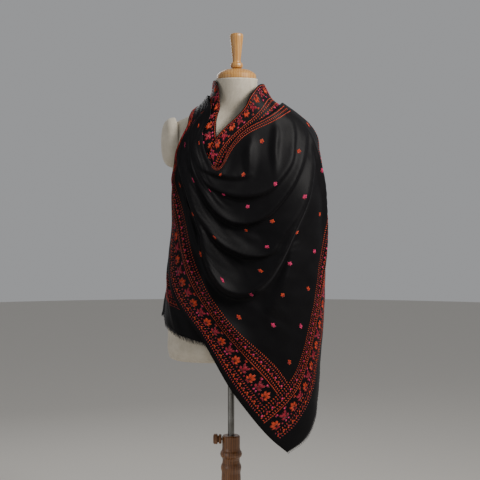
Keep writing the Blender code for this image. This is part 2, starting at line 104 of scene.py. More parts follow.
def studio_room():
    world = bpy.data.worlds.new("studio_air")
    world.use_nodes = True
    world.node_tree.nodes["Background"].inputs["Color"].default_value = (0.80, 0.81, 0.83, 1.0)
    world.node_tree.nodes["Background"].inputs["Strength"].default_value = 0.42
    bpy.context.scene.world = world
    softbox("key_light", (1.36, -1.02, 2.32), 0.7, 55, (1.0, 0.97, 0.93))
    softbox("fill_light", (-2.3, -1.9, 1.2), 1.8, 14, (0.95, 0.97, 1.0))
    softbox("back_light", (-0.9, 2.2, 2.1), 1.2, 12)
    bpy.ops.mesh.primitive_circle_add(vertices=96, radius=9, fill_type="NGON", location=(0, 0, 0))
    floor = bpy.context.active_object
    floor.name = "studio_floor"
    floor.data.materials.append(plain_floor_paint())


# ------------------------------------------------------------------- materials
def linear(code):
    """Linear colour from a six-digit sRGB code."""
    channels = [int(code[i:i + 2], 16) / 255 for i in (0, 2, 4)]
    return tuple(c / 12.92 if c <= 0.04045 else ((c + 0.055) / 1.055) ** 2.4 for c in channels) + (1.0,)


def add_node(tree, kind, settings=None, links=None):
    """One node with its settings (a property or a socket's value) and the links into its sockets."""
    made = tree.nodes.new(kind)
    for name, value in (settings or {}).items():
        if isinstance(name, int) or name in made.inputs:
            made.inputs[name].default_value = value
        else:
            setattr(made, name, value)
    for name, source in (links or {}).items():
        tree.links.new(source, made.inputs[name])
    return made


def new_material(name, settings):
    """Material with one Principled shader, whose plain values are set on its own sockets."""
    made = bpy.data.materials.new(name)
    made.use_nodes = True
    shader = made.node_tree.nodes["Principled BSDF"]
    for socket, value in settings.items():
        shader.inputs[socket].default_value = value
    return made, made.node_tree, shader


def two_tone(tree, source, dark, light, low=0.3, high=0.7):
    """Colour that runs from dark to light as source rises from low to high."""
    ramp = add_node(tree, "ShaderNodeValToRGB", {}, {"Fac": source})
    ramp.color_ramp.elements[0].position = low
    ramp.color_ramp.elements[0].color = linear(dark)
    ramp.color_ramp.elements[1].position = high
    ramp.color_ramp.elements[1].color = linear(light)
    return ramp.outputs["Color"]


def plain_floor_paint():
    """Matt pale paint, so that the floor only shows the object's shadow."""
    return new_material("plain_floor_paint", {"Roughness": 0.9, "Base Color": linear("CFCBC4")})[0]


def twill_wool_woven():
    """Fine worsted twill: nearly black, with a soft grey sheen where a fold turns away from the light."""
    made, tree, shader = new_material("twill_wool_woven", {
        "Roughness": 0.54, "IOR": 1.46, "Sheen Weight": 0.06, "Sheen Roughness": 0.45,
        "Sheen Tint": linear("B9B6BC"), "Specular IOR Level": 0.13,
    })
    flat = add_node(tree, "ShaderNodeUVMap", {"uv_map": "cloth_metres"}).outputs["UV"]
    # A worsted twill line is about 0.6 mm; it is drawn 1.6 mm apart so that it shows
    twill = add_node(tree, "ShaderNodeTexWave", {
        "bands_direction": "DIAGONAL", "Scale": 285.0, "Distortion": 0.6, "Detail": 1.0,
    }, {"Vector": flat})
    yarn = add_node(tree, "ShaderNodeTexNoise", {"Scale": 420.0, "Detail": 2.0}, {"Vector": flat})
    weave = add_node(tree, "ShaderNodeMath", {"operation": "MULTIPLY_ADD", 1: 0.6},
                     {0: twill.outputs["Fac"], 2: yarn.outputs["Fac"]})
    bump = add_node(tree, "ShaderNodeBump", {"Strength": 0.16, "Distance": 0.0006},
                    {"Height": weave.outputs["Value"]})
    cloud = add_node(tree, "ShaderNodeTexNoise", {"Scale": 26.0, "Detail": 3.0}, {"Vector": flat})
    tree.links.new(two_tone(tree, cloud.outputs["Fac"], "050406", "09080A"), shader.inputs["Base Color"])
    tree.links.new(bump.outputs["Normal"], shader.inputs["Normal"])
    return made


def wool_fringe_brushed():
    """Loose wool ends, duller and hairier than the cloth."""
    made, tree, shader = new_material("wool_fringe_brushed", {
        "Roughness": 0.78, "Sheen Weight": 0.3, "Sheen Roughness": 0.5, "Sheen Tint": linear("8C888E"),
    })
    place = add_node(tree, "ShaderNodeTexCoord").outputs["Object"]
    fluff = add_node(tree, "ShaderNodeTexNoise", {"Scale": 260.0, "Detail": 2.0}, {"Vector": place})
    tree.links.new(two_tone(tree, fluff.outputs["Fac"], "08070A", "151418"), shader.inputs["Base Color"])
    return made


def silk_thread_stitched(name, dark, light):
    """Floss silk laid in short stitches: a clear colour with a narrow gloss along each stitch."""
    made, tree, shader = new_material(name, {
        "Roughness": 0.52, "IOR": 1.5, "Sheen Weight": 0.12, "Sheen Roughness": 0.3,
        "Specular IOR Level": 0.35,
    })
    place = add_node(tree, "ShaderNodeTexCoord").outputs["Object"]
    # Dye lots change every few centimetres, and one filament of the floss is drawn 0.8 mm wide
    lots = add_node(tree, "ShaderNodeTexNoise", {"Scale": 90.0, "Detail": 2.0}, {"Vector": place})
    floss = add_node(tree, "ShaderNodeTexNoise", {"Scale": 1250.0, "Detail": 1.0}, {"Vector": place})
    bump = add_node(tree, "ShaderNodeBump", {"Strength": 0.3, "Distance": 0.0003},
                    {"Height": floss.outputs["Fac"]})
    tree.links.new(two_tone(tree, lots.outputs["Fac"], dark, light), shader.inputs["Base Color"])
    tree.links.new(bump.outputs["Normal"], shader.inputs["Normal"])
    return made


def linen_cover_woven():
    """Unbleached linen stretched over the form: cream, matt, with uneven warp and weft threads."""
    made, tree, shader = new_material("linen_cover_woven", {
        "Roughness": 0.88, "Sheen Weight": 0.08, "Sheen Roughness": 0.5, "Specular IOR Level": 0.3,
    })
    flat = add_node(tree, "ShaderNodeUVMap", {"uv_map": "cloth_metres"}).outputs["UV"]
    # Linen threads are about 0.7 mm apart; drawn 1.3 mm apart so that they show
    warp = add_node(tree, "ShaderNodeTexWave", {
        "bands_direction": "X", "Scale": 242.0, "Distortion": 1.2, "Detail": 2.0,
    }, {"Vector": flat})
    weft = add_node(tree, "ShaderNodeTexWave", {
        "bands_direction": "Y", "Scale": 242.0, "Distortion": 1.2, "Detail": 2.0,
    }, {"Vector": flat})
    cross = add_node(tree, "ShaderNodeMath", {"operation": "MULTIPLY"},
                     {0: warp.outputs["Fac"], 1: weft.outputs["Fac"]})
    bump = add_node(tree, "ShaderNodeBump", {"Strength": 0.22, "Distance": 0.0006},
                    {"Height": cross.outputs["Value"]})
    slub = add_node(tree, "ShaderNodeTexNoise", {"Scale": 34.0, "Detail": 6.0, "Roughness": 0.7},
                    {"Vector": flat})
    tone = add_node(tree, "ShaderNodeMath", {"operation": "MULTIPLY_ADD", 1: 0.22},
                    {0: cross.outputs["Value"], 2: slub.outputs["Fac"]})
    tree.links.new(two_tone(tree, tone.outputs["Value"], "B8AE9C", "D0C7B6", 0.35, 0.8),
                   shader.inputs["Base Color"])
    tree.links.new(bump.outputs["Normal"], shader.inputs["Normal"])
    return made


def turned_wood_varnished(name, dark, light, gloss):
    """Wood turned on a lathe and varnished: long grain up the piece under a clear satin coat."""
    made, tree, shader = new_material(name, {
        "Roughness": 0.42, "IOR": 1.5, "Coat Weight": gloss, "Coat Roughness": 0.22, "Coat IOR": 1.5,
    })
    place = add_node(tree, "ShaderNodeTexCoord").outputs["Object"]
    grain_way = add_node(tree, "ShaderNodeMapping", {"Scale": (1.0, 1.0, 0.07)}, {"Vector": place})
    # Growth rings 5 mm apart, pores about 0.5 mm across
    rings = add_node(tree, "ShaderNodeTexWave", {
        "bands_direction": "X", "Scale": 46.0, "Distortion": 7.5, "Detail": 3.0, "Detail Scale": 1.4,
    }, {"Vector": grain_way.outputs["Vector"]})
    pores = add_node(tree, "ShaderNodeTexNoise", {"Scale": 900.0, "Detail": 3.0},
                     {"Vector": grain_way.outputs["Vector"]})
    mixed = add_node(tree, "ShaderNodeMath", {"operation": "MULTIPLY_ADD", 1: 0.45},
                     {0: pores.outputs["Fac"], 2: rings.outputs["Fac"]})
    shade = add_node(tree, "ShaderNodeMath", {"operation": "MULTIPLY", 1: 0.7}, {0: mixed.outputs["Value"]})
    bump = add_node(tree, "ShaderNodeBump", {"Strength": 0.12, "Distance": 0.0004},
                    {"Height": pores.outputs["Fac"]})
    tree.links.new(two_tone(tree, shade.outputs["Value"], dark, light, 0.1, 0.95),
                   shader.inputs["Base Color"])
    tree.links.new(bump.outputs["Normal"], shader.inputs["Normal"])
    return made


def steel_tube_brushed():
    """Steel tube ground to a satin finish, with hairlines along its length and faint rub marks."""
    made, tree, shader = new_material("steel_tube_brushed", {"Metallic": 1.0, "Roughness": 0.34})
    place = add_node(tree, "ShaderNodeTexCoord").outputs["Object"]
    hairline = add_node(tree, "ShaderNodeMapping", {"Scale": (1.0, 1.0, 0.03)}, {"Vector": place})
    lines = add_node(tree, "ShaderNodeTexNoise", {"Scale": 2200.0, "Detail": 2.0},
                     {"Vector": hairline.outputs["Vector"]})
    wear = add_node(tree, "ShaderNodeTexNoise", {"Scale": 30.0, "Detail": 4.0}, {"Vector": place})
    rough = add_node(tree, "ShaderNodeMapRange", {"To Min": 0.26, "To Max": 0.44},
                     {"Value": wear.outputs["Fac"]})
    bump = add_node(tree, "ShaderNodeBump", {"Strength": 0.1, "Distance": 0.0002},
                    {"Height": lines.outputs["Fac"]})
    tree.links.new(two_tone(tree, wear.outputs["Fac"], "74726E", "8E8D89"), shader.inputs["Base Color"])
    tree.links.new(rough.outputs["Result"], shader.inputs["Roughness"])
    tree.links.new(bump.outputs["Normal"], shader.inputs["Normal"])
    return made


# ------------------------------------------------------------ curves and sheets
def through(knots, values, at):
    """Smooth curve through values at uneven knots (cubic, with weighted slopes)."""
    knots = np.asarray(knots, float)
    values = np.asarray(values, float)
    steps = np.diff(knots)
    rise = np.diff(values, axis=0) / steps.reshape((-1,) + (1,) * (values.ndim - 1))
    slope = np.empty_like(values)
    slope[0] = rise[0]
    slope[-1] = rise[-1]
    before = steps[:-1].reshape((-1,) + (1,) * (values.ndim - 1))
    after = steps[1:].reshape((-1,) + (1,) * (values.ndim - 1))
    slope[1:-1] = (rise[:-1] * after + rise[1:] * before) / (before + after)
    at = np.clip(np.asarray(at, float), knots[0], knots[-1])
    k = np.clip(np.searchsorted(knots, at, side="right") - 1, 0, len(steps) - 1)
    shape = at.shape + (1,) * (values.ndim - 1)
    t = ((at - knots[k]) / steps[k]).reshape(shape)
    step = steps[k].reshape(shape)
    start = (1 + 2 * t) * (1 - t) ** 2 * values[k] + t * (1 - t) ** 2 * step * slope[k]
    return start + t * t * (3 - 2 * t) * values[k + 1] + t * t * (t - 1) * step * slope[k + 1]


def smooth_step(start, end, value):
    t = np.clip((value - start) / (end - start), 0, 1)
    return t * t * (3 - 2 * t)


def grid_normals(grid):
    """Unit normal at every point of a grid, on the side that the order of its rows and columns gives."""
    normal = np.cross(np.gradient(grid, axis=0), np.gradient(grid, axis=1))
    normal /= np.maximum(np.linalg.norm(normal, axis=-1, keepdims=True), 1e-12)
    return normal


class Sheet:
    """A draped stretch of cloth: its points, and the flat distances along and across it."""

    def __init__(self, grid, along, across, outward):
        self.grid = grid
        self.along = along
        self.across = across
        self.normal = grid_normals(grid)
        self.inside_out = np.sum(self.normal * outward, axis=-1).mean() < 0
        if self.inside_out:
            self.normal = -self.normal

    def lay(self, along, across, height):
        """Points at flat distances along and across the cloth, raised by height above it."""
        i = np.clip(np.searchsorted(self.along, along, side="right") - 1, 0, len(self.along) - 2)
        j = np.clip(np.searchsorted(self.across, across, side="right") - 1, 0, len(self.across) - 2)
        s = ((along - self.along[i]) / (self.along[i + 1] - self.along[i]))[:, None]
        t = ((across - self.across[j]) / (self.across[j + 1] - self.across[j]))[:, None]
        spots = []
        for field in (self.grid, self.normal):
            lower = field[i, j] * (1 - s) + field[i + 1, j] * s
            upper = field[i, j + 1] * (1 - s) + field[i + 1, j + 1] * s
            spots.append(lower * (1 - t) + upper * t)
        return spots[0] + spots[1] * height[:, None]


def link_mesh(name, points, faces, surfaces, smooth=True):
    mesh = bpy.data.meshes.new(name)
    mesh.from_pydata(points, [], faces)
    for surface in surfaces:
        mesh.materials.append(surface)
    if smooth:
        mesh.shade_smooth()
    made = bpy.data.objects.new(name, mesh)
    bpy.context.scene.collection.objects.link(made)
    return made


def grid_piece(name, grid, flat, surface, closed=False, turned=False):
    """Smooth surface through a grid of points; flat holds the cloth's own metres for its weave."""
    rows, columns = grid.shape[:2]
    wrap = columns if closed else columns - 1
    faces = []
    for i in range(rows - 1):
        for j in range(wrap):
            k = (j + 1) % columns
            faces.append((i * columns + j, (i + 1) * columns + j, (i + 1) * columns + k, i * columns + k))
    if turned:
        faces = [face[::-1] for face in faces]
    made = link_mesh(name, grid.reshape(-1, 3).tolist(), faces, [surface])
    layer = made.data.uv_layers.new(name="cloth_metres")
    corners = np.empty(len(made.data.loops), int)
    made.data.loops.foreach_get("vertex_index", corners)
    layer.data.foreach_set("uv", flat.reshape(-1, 2)[corners].ravel())
    return made


def cloth_piece(name, sheet):
    """A draped stretch as cloth: its thickness lies inward from the side that shows."""
    p, q = np.meshgrid(sheet.along, sheet.across, indexing="ij")
    made = grid_piece(name, sheet.grid, np.stack([p, q], axis=-1), WOOL, turned=sheet.inside_out)
    wall = made.modifiers.new("cloth_thickness", "SOLIDIFY")
    wall.thickness = CLOTH
    wall.offset = -1.0
    bpy.ops.object.select_all(action="DESELECT")
    bpy.context.view_layer.objects.active = made
    made.select_set(True)
    bpy.ops.object.modifier_apply(modifier=wall.name)
    made.select_set(False)
    return made


# --------------------------------------------------------- the shawl's envelope
# The surface that the cloth lies on, as ovals: height, left, right, front, back
ENVELOPE = np.array((
    (0.440, -0.178, 0.226, 0.120, 0.128),
    (0.600, -0.178, 0.231, 0.124, 0.128),
    (0.740, -0.181, 0.238, 0.132, 0.130),
    (0.860, -0.183, 0.246, 0.138, 0.134),
    (0.960, -0.177, 0.249, 0.140, 0.132),
    (1.060, -0.165, 0.250, 0.143, 0.126),
    (1.150, -0.158, 0.249, 0.149, 0.122),
    (1.220, -0.165, 0.246, 0.155, 0.124),
    (1.290, -0.187, 0.240, 0.154, 0.126),
    (1.340, -0.201, 0.231, 0.146, 0.126),
    (1.380, -0.191, 0.222, 0.134, 0.119),
    (1.410, -0.156, 0.201, 0.124, 0.106),
    (1.430, -0.119, 0.174, 0.120, 0.093),
    (1.450, -0.084, 0.144, 0.118, 0.078),
    (1.470, -0.065, 0.116, 0.118, 0.056),
    (1.500, -0.051, 0.096, 0.120, 0.032),
    (1.525, -0.049, 0.085, 0.123, 0.014),
))
CORNER_SQUARENESS = 3.0      # left front and right back, where the turned form's corners are
OTHER_SQUARENESS = 2.3


def envelope(angle, height):
    """Point on the envelope; angle in degrees from the front towards the right."""
    left, right, front, back = (through(ENVELOPE[:, 0], ENVELOPE[:, k], height) for k in (1, 2, 3, 4))
    s = np.sin(np.radians(angle))
    c = np.cos(np.radians(angle))
    square = np.where(s * c < 0, CORNER_SQUARENESS, OTHER_SQUARENESS)
    depth = np.where(c > 0, front, back)
    across = (left + right) / 2 + (right - left) / 2 * s
    away = -np.sign(c) * depth * (1 - np.minimum(1, np.abs(s)) ** square) ** (1 / square)
    return np.stack([across, away, height], axis=-1)


def envelope_outward(angle, height):
    """Unit normal of the envelope, pointing away from the form."""
    turn = envelope(angle + 1, height) - envelope(angle - 1, height)
    rise = envelope(angle, height + 0.003) - envelope(angle, height - 0.003)
    normal = np.cross(turn, rise)
    return normal / np.linalg.norm(normal, axis=-1, keepdims=True)


# Where points of the flat cloth lie on the envelope. A row is one line along
# the cloth at its distance in from edge A; the columns are distances from end B.
ALONG = (0.0, 0.05, 0.2, 0.4, 0.6, 0.8, 0.9, 1.0, 1.1, 1.2, 1.4, 1.6, 1.8, 2.0)
ACROSS = (0.0, 0.05, 0.11, 0.30, 0.50, 0.70, 0.85, 0.98)
ANGLE = np.array((
    (37.2, 26, -3, -32, -72, -71, -52, -43, -90, -124, -116, -82, -46, -15),
    (56, 41, 10, -23, -59, -64, -49, -42.5, -90, -125, -120, -89, -56, -28),
    (70, 55, 25, -12, -44, -55, -46, -42, -90, -127, -124, -97, -68, -44),
    (93, 77, 41, 2, -34, -48, -41, -42, -90, -133, -142, -125, -106, -91),
    (108, 93, 50, 9, -22, -38, -37, -44, -91, -141, -160, -153, -139, -127),
    (126, 111, 62, 14, -18, -33, -34, -47, -92, -152, -180, -182, -172, -163),
    (136, 119, 67, 17, -20, -29, -32, -50, -93, -170, -203, -205, -199, -194),
    (141, 123, 67, 10, -16, -25, -29, -54, -94, -194, -226, -227, -225, -222),
), float)
HEIGHT = np.array((
    (0.527, .557, .678, .847, 1.010, 1.206, 1.297, 1.399, 1.445, 1.405, 1.262, 1.100, 0.950, 0.815),
    (.556, .592, .713, .867, 1.036, 1.227, 1.307, 1.403, 1.448, 1.410, 1.267, 1.100, 0.957, 0.825),
    (.598, .638, .757, .892, 1.068, 1.252, 1.318, 1.408, 1.451, 1.417, 1.272, 1.100, 0.966, 0.838),
    (.785, .812, .894, .978, 1.115, 1.257, 1.336, 1.420, 1.461, 1.434, 1.287, 1.100, 0.992, 0.888),
    (.980, .995, 1.044, 1.070, 1.134, 1.269, 1.354, 1.432, 1.468, 1.449, 1.300, 1.105, 1.000, 0.903),
    (1.170, 1.176, 1.196, 1.172, 1.192, 1.296, 1.374, 1.443, 1.475, 1.461, 1.315, 1.110, 1.000, 0.903),
    (1.320, 1.323, 1.335, 1.290, 1.243, 1.338, 1.397, 1.453, 1.479, 1.469, 1.330, 1.130, 0.998, 0.893),
    (1.446, 1.449, 1.454, 1.400, 1.289, 1.379, 1.423, 1.463, 1.485, 1.474, 1.345, 1.150, 1.000, 0.873),
))

# Folds of the front: name, rise, width above, width below, (angle, height) points
FRONT_FOLDS = (
    ("neck_ledge", 0.013, 0.030, 0.008, ((-30, 1.330), (-29, 1.292), (-18, 1.272), (-6, 1.264), (8, 1.270))),
    ("first_swag", 0.017, 0.036, 0.009,
     ((-34, 1.370), (-31, 1.300), (-26, 1.248), (-15, 1.225), (0, 1.217), (16, 1.231), (26, 1.261),
      (37, 1.305), (44, 1.372), (47, 1.420))),
    ("second_swag", 0.021, 0.038, 0.009,
     ((-40, 1.385), (-36, 1.310), (-32, 1.240), (-27, 1.197), (-14, 1.154), (2, 1.149), (14, 1.170),
      (23, 1.200), (36, 1.253), (49, 1.318), (60, 1.385))),
    ("third_swag", 0.024, 0.040, 0.009,
     ((-45, 1.390), (-43, 1.330), (-41, 1.280), (-39, 1.197), (-30, 1.136), (-20, 1.096), (-10, 1.075),
      (2, 1.061), (15, 1.066), (25, 1.118), (36, 1.170), (48, 1.240), (60, 1.320))),
    ("great_swag", 0.033, 0.048, 0.012,
     ((-49, 1.395), (-45, 1.327), (-44, 1.261), (-41, 1.189), (-34, 1.125), (-28, 1.049), (-22, 1.007),
      (-16, 0.979), (-6, 0.962), (4, 0.965), (13, 0.991), (22, 1.042), (32, 1.120), (47, 1.212),
      (62, 1.310))),
    ("last_swag", 0.012, 0.034, 0.018, ((34, 1.100), (30, 1.012), (24, 0.950), (18, 0.900))),
    ("hem_sweep", 0.014, 0.030, 0.014, ((-29, 0.985), (-20, 0.925), (-10, 0.876), (1, 0.830), (9, 0.770))),
    ("side_fall", 0.014, 0.018, 0.010,
     ((-50, 1.380), (-53, 1.310), (-58, 1.239), (-60, 1.157), (-50, 1.065), (-38, 0.998))),
    ("left_drag_1", 0.006, 0.008, 0.007, ((-38, 1.360), (-34, 1.270), (-24, 1.200), (-10, 1.180))),
    ("left_drag_2", 0.006, 0.009, 0.007,
     ((-44, 1.330), (-42, 1.230), (-34, 1.160), (-20, 1.125), (-6, 1.110))),
    ("left_drag_3", 0.006, 0.009, 0.008, ((-47, 1.300), (-48, 1.200), (-41, 1.110), (-33, 1.050))),
    ("right_fall_1", 0.010, 0.014, 0.012, ((11, 1.362), (3, 1.253))),
    ("right_fall_2", 0.011, 0.014, 0.012, ((31, 1.400), (22, 1.253))),
    ("right_drag_1", 0.006, 0.010, 0.008, ((54, 1.400), (42, 1.290), (30, 1.215), (20, 1.185))),
    ("right_drag_2", 0.007, 0.012, 0.009, ((66, 1.390), (55, 1.260), (42, 1.160), (30, 1.080))),
    ("right_fall_3", 0.012, 0.016, 0.014, ((62, 1.400), (72, 1.300), (78, 1.120), (70, 0.950))),
    ("right_fall_4", 0.010, 0.018, 0.016, ((88, 1.400), (98, 1.250), (100, 1.020), (92, 0.860))),
    ("right_fall_5", 0.008, 0.018, 0.016, ((116, 1.360), (122, 1.180), (116, 1.000))),
)

# Flutes of the back: distance in from edge A at the shoulder and at the hem, rise at the hem, half width
BACK_FLUTES = (
    (0.12, 0.14, 0.006, 0.022),
    (0.30, 0.33, 0.011, 0.020),
    (0.38, 0.44, 0.017, 0.024),
    (0.47, 0.55, 0.013, 0.021),
    (0.56, 0.66, 0.020, 0.026),
    (0.67, 0.76, 0.014, 0.022),
    (0.76, 0.84, 0.011, 0.018),
)
# Pleats over the left shoulder: distance in from edge A, rise, half width
SHOULDER_PLEATS = (
    (0.08, 0.0009, 0.040),
    (0.25, 0.0012, 0.052),
    (0.44, 0.0009, 0.046),
    (0.63, 0.0011, 0.054),
    (0.85, 0.0007, 0.060),
)
PLEAT_REACH = 0.20           # how far the pleats run down each side of the shoulder
BACK_REACH = 0.9             # from the shoulder to the hem of the back
CREASE_FREE = 0.30           # the bunched stretch about the shoulder shows pleats and no small creases

# A swag comes forward slowly from above, rolls over a narrow crest and drops away at once below it
ABOVE_FALL = 1.5
BELOW_FALL = 2.0
CREST_SHARE = 0.15
CREST_WIDTH = 0.010


def fold_rise(angle, height, fold):
    """Rise of one fold: soft on its upper side, steeper below, fading at its ends."""
    _, rise, above, below, points = fold
    path = np.array(points, float) * (ARC_PER_DEGREE, 1.0)
    reach = np.concatenate([[0], np.cumsum(np.hypot(*np.diff(path, axis=0).T))])
    count = int(reach[-1] / 0.006) + 8
    line = through(reach, path, np.linspace(0, reach[-1], count))
    heading = np.gradient(line, axis=0)
    heading /= np.hypot(heading[:, 0], heading[:, 1])[:, None]
    spots = np.stack([angle * ARC_PER_DEGREE, height], axis=-1)
    offset = spots[..., None, :] - line
    distance = np.hypot(offset[..., 0], offset[..., 1])
    nearest = distance.argmin(axis=-1)
    gap = np.take_along_axis(offset, nearest[..., None, None], axis=-2)[..., 0, :]
    along = heading[nearest]
    side = along[..., 0] * gap[..., 1] - along[..., 1] * gap[..., 0]
    width = np.where(side > 0, above, below)
    steep = np.where(side > 0, ABOVE_FALL, BELOW_FALL)
    fade = np.sin(np.pi * (nearest + 0.6) / (count + 0.2)) ** 0.5
    away = distance.min(axis=-1)
    crest = CREST_SHARE * np.exp(-(away / CREST_WIDTH) ** 2)
    return rise * fade * ((1 - CREST_SHARE) * np.exp(-(away / width) ** steep) + crest)


def together(rises, sharpness=3):
    """Smooth greatest of several rises."""
    total = sum(np.maximum(0, rise) ** sharpness for rise in rises)
    return total ** (1 / sharpness)


def relief(along, across, angle, height):
    """How far the folds lift the cloth off its layer."""
    front = together([fold_rise(angle, height, fold) for fold in FRONT_FOLDS])
    front = front * smooth_step(0.96, 0.78, along)
    near = np.exp(-((along - SHOULDER) / PLEAT_REACH) ** 2)
    pleats = together([rise * near * np.exp(-((across - middle) / half) ** 2)
                       for middle, rise, half in SHOULDER_PLEATS])
    fall = smooth_step(1.20, 1.80, along)
    down = (along - SHOULDER) / BACK_REACH
    flutes = together([rise * fall * np.exp(-((across - (at_top + (at_hem - at_top) * down)) / half) ** 2)
                       for at_top, at_hem, rise, half in BACK_FLUTES])
    creases = small_creases(along, across) * (1 - np.exp(-((along - SHOULDER) / CREASE_FREE) ** 2))
    return front + pleats + flutes + creases


def small_creases(along, across):
    """Slight unevenness of worn cloth: long shallow ripples that cross at random angles."""
    chance = np.random.default_rng(7)
    total = np.zeros_like(along)
    for _ in range(26):
        length = chance.uniform(0.045, 0.16)
        way = chance.uniform(-0.9, 0.9)
        phase = chance.uniform(0, 2 * math.pi)
        wander = 0.5 * np.sin(9 * along + 7 * across + phase)
        total += length * np.sin(2 * math.pi * (along * math.sin(way) + across * math.cos(way)) / length
                                 + phase + wander)
    return 0.0016 * total


FRONT_LINES = 196
BACK_LINES = 92
LINES_ACROSS = 164
BORDER_LINE = 10             # the line along the cloth, near edge A, on which its length is measured


def draped_shawl():
    """The shawl's main stretch, from end B over the left shoulder to the far end."""
    front = np.linspace(0.0, SHOULDER, FRONT_LINES)
    back = np.linspace(SHOULDER, SHAWL_LENGTH, BACK_LINES + 1)[1:]
    along = np.concatenate([front, back])
    across = np.linspace(0.0, SHAWL_WIDTH, LINES_ACROSS)
    p, q = np.meshgrid(along, across, indexing="ij")
    angle = through(ALONG, through(ACROSS, ANGLE, across).T, along)
    height = through(ALONG, through(ACROSS, HEIGHT, across).T, along)
    in_front = smooth_step(1.24, 1.10, p)
    near_neck = smooth_step(1.38, 1.44, height) * (1 - in_front * smooth_step(-30, -60, angle))
    layer = FRONT_LIFT * in_front + NECK_LIFT * near_neck
    lift = layer + relief(p, q, angle, height)
    outward = envelope_outward(angle, height)
    grid = envelope(angle, height) + outward * lift[..., None]
    steps = np.linalg.norm(np.diff(grid[:, BORDER_LINE], axis=0), axis=1)
    return Sheet(grid, np.concatenate([[0], np.cumsum(steps)]), across, outward)


# Neck stretches: (angle, height) along the neck's edge and along the lower edge
LEFT_BAND_EDGES = (
    ((-221, 1.497), (-160, 1.500), (-108, 1.512), (-61, 1.521), (-35, 1.464), (-19, 1.408), (-13, 1.360),
     (-10, 1.320), (-9, 1.280)),
    ((-221, 1.446), (-166, 1.450), (-118, 1.464), (-84, 1.472), (-46, 1.430), (-36, 1.376), (-32, 1.332),
     (-30, 1.295), (-28, 1.262)),
)
RIGHT_BAND_EDGES = (
    ((138, 1.497), (108, 1.505), (75, 1.513), (45, 1.508), (22, 1.484), (4, 1.450), (-7, 1.408),
     (-15, 1.360), (-21, 1.318), (-27, 1.282)),
    ((138, 1.446), (112, 1.438), (86, 1.434), (58, 1.424), (32, 1.404), (18, 1.376), (4, 1.334),
     (-8, 1.294), (-16, 1.262), (-22, 1.246)),
)
INNER_BAND_LIFT = 0.0005
OUTER_BAND_LIFT = 0.0045     # the right band lies over the left one in front


def neck_band(edges, front_lift, run=110, rise=22):
    """Band round the neck between two edges; its lift falls to the inner one's behind the neck."""
    neckline, lower = (through(np.linspace(0, 1, len(edge)), edge, np.linspace(0, 1, run)) for edge in edges)
    share = np.linspace(0, 1, rise)[None, :, None]
    spots = neckline[:, None] * (1 - share) + lower[:, None] * share
    angle = spots[..., 0]
    lift = INNER_BAND_LIFT + (front_lift - INNER_BAND_LIFT) * smooth_step(115, 60, angle)
    outward = envelope_outward(angle, spots[..., 1])
    grid = envelope(angle, spots[..., 1]) + outward * lift[..., None]
    middle = grid[:, rise // 2]
    along = np.concatenate([[0], np.cumsum(np.linalg.norm(np.diff(middle, axis=0), axis=1))])
    width = np.linalg.norm(grid[:, -1] - grid[:, 0], axis=1).mean()
    return Sheet(grid, along, np.linspace(0, width, rise), outward)


# ------------------------------------------------------------------ embroidery
ORANGE = 0
CRIMSON = 1
PINK = 2
STITCH_RING = ((0.5, 0.0), (0.22, 0.5), (-0.22, 0.5), (-0.5, 0.0), (-0.22, -0.5), (0.22, -0.5))
STITCH_SINK = 0.0003
STITCH_FOOT = 0.0001


class Needle:
    """Collects stitches as rows of: along, across, heading, length, width, rise, colour."""

    def __init__(self):
        self.rows = []

    def stitch(self, along, across, heading, length, width, colour, rise=0.0008):
        self.rows.append((along, across, heading, length, width, rise, colour))

    def motif(self, petals, along, across, turn, colours, size=1.0):
        """Petals are (x, y, heading in degrees, length, width, colour number) in millimetres.

        A petal is filled with stitches laid side by side, the middle one longest.
        """
        c = math.cos(turn)
        s = math.sin(turn)
        for x, y, heading, length, width, tint in petals:
            way = math.radians(heading)
            strands = max(1, round(width / 1.7))
            for strand in range(strands):
                aside = (strand - (strands - 1) / 2) / strands * width
                shorter = 1 - 0.42 * abs(2 * aside / width)
                u = x - math.sin(way) * aside
                v = y + math.cos(way) * aside
                self.stitch(along + (c * u - s * v) * 0.001 * size, across + (s * u + c * v) * 0.001 * size,
                            way + turn, length * shorter * 0.001 * size,
                            width / strands * 1.12 * 0.001 * size, colours[tint], 0.0008)


# Motifs in millimetres, rooted at their foot and growing towards +y:
# x, y of a stitch's middle, its heading, its length and width, and which of the motif's colours it takes
PALMETTE = (
    (0.0, 20.0, 90, 23.0, 7.4, 0),
    (-6.6, 17.0, 128, 19.0, 6.6, 0),
    (6.6, 17.0, 52, 19.0, 6.6, 0),
    (-7.4, 9.4, 163, 14.5, 5.0, 0),
    (7.4, 9.4, 17, 14.5, 5.0, 0),
    (-4.4, 3.2, 212, 9.0, 3.4, 1),
    (4.4, 3.2, -32, 9.0, 3.4, 1),
    (0.0, 4.0, 90, 8.0, 3.2, 1),
)
SPRAY = (
    (0.0, 15.0, 90, 21.0, 6.0, 0),
    (-5.6, 19.0, 122, 16.0, 5.0, 0),
    (5.6, 19.0, 58, 16.0, 5.0, 0),
    (-6.2, 10.0, 152, 13.0, 5.0, 0),
    (6.2, 10.0, 28, 13.0, 5.0, 0),
    (-4.0, 3.0, 225, 8.0, 3.4, 1),
    (4.0, 3.0, -45, 8.0, 3.4, 1),
    (-10.4, 27.5, 70, 7.0, 3.4, 1),
    (10.4, 27.5, 110, 7.0, 3.4, 1),
)
